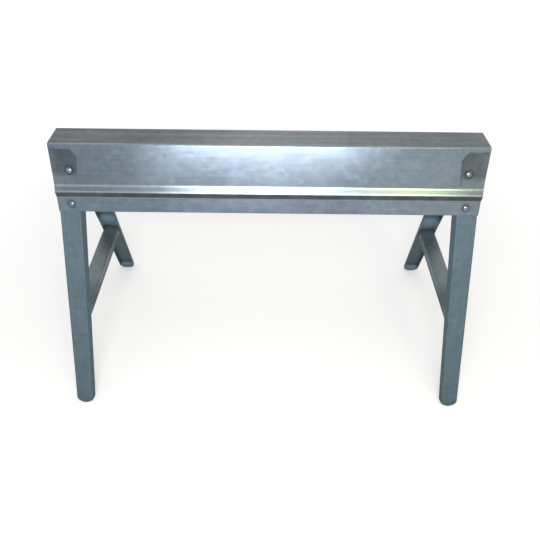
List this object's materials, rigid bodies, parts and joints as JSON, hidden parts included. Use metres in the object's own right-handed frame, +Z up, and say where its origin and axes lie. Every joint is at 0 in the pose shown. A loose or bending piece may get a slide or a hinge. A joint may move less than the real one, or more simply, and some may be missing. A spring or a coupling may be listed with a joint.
{
  "type": "builders trestle",
  "caption": "Stacking pressed-steel builders trestle: a hollow folded beam on splayed channel legs, riveted at its corners and braced at each end.",
  "frame": {"origin": "floor level, under the middle of the beam", "axes": "+X along the beam, -Y to the front, +Z up"},
  "size_m": [1.0016, 0.5484, 0.606],
  "materials": {
    "beam_zinc": "galvanised sheet, satin",
    "leg_zinc": "galvanised sheet, blue-grey satin",
    "brace_zinc": "galvanised sheet, satin",
    "rivet_zinc": "bright zinc plate",
    "washer_zinc": "zinc plate"
  },
  "bodies": {
    "root": {"top_beam": "beam_zinc", "leg_front_left": "leg_zinc", "leg_front_right": "leg_zinc", "leg_rear_left": "leg_zinc", "leg_rear_right": "leg_zinc", "brace_left": "brace_zinc", "brace_right": "brace_zinc", "rivet_upper_front_left": "rivet_zinc", "rivet_upper_front_right": "rivet_zinc", "rivet_upper_rear_left": "rivet_zinc", "rivet_upper_rear_right": "rivet_zinc", "rivet_lower_front_left": "rivet_zinc", "rivet_lower_front_right": "rivet_zinc", "rivet_lower_rear_left": "rivet_zinc", "rivet_lower_rear_right": "rivet_zinc", "washer_upper_front_left": "washer_zinc", "washer_upper_front_right": "washer_zinc", "washer_upper_rear_left": "washer_zinc", "washer_upper_rear_right": "washer_zinc", "washer_lower_front_left": "washer_zinc", "washer_lower_front_right": "washer_zinc", "washer_lower_rear_left": "washer_zinc", "washer_lower_rear_right": "washer_zinc"}
  },
  "joints": []
}
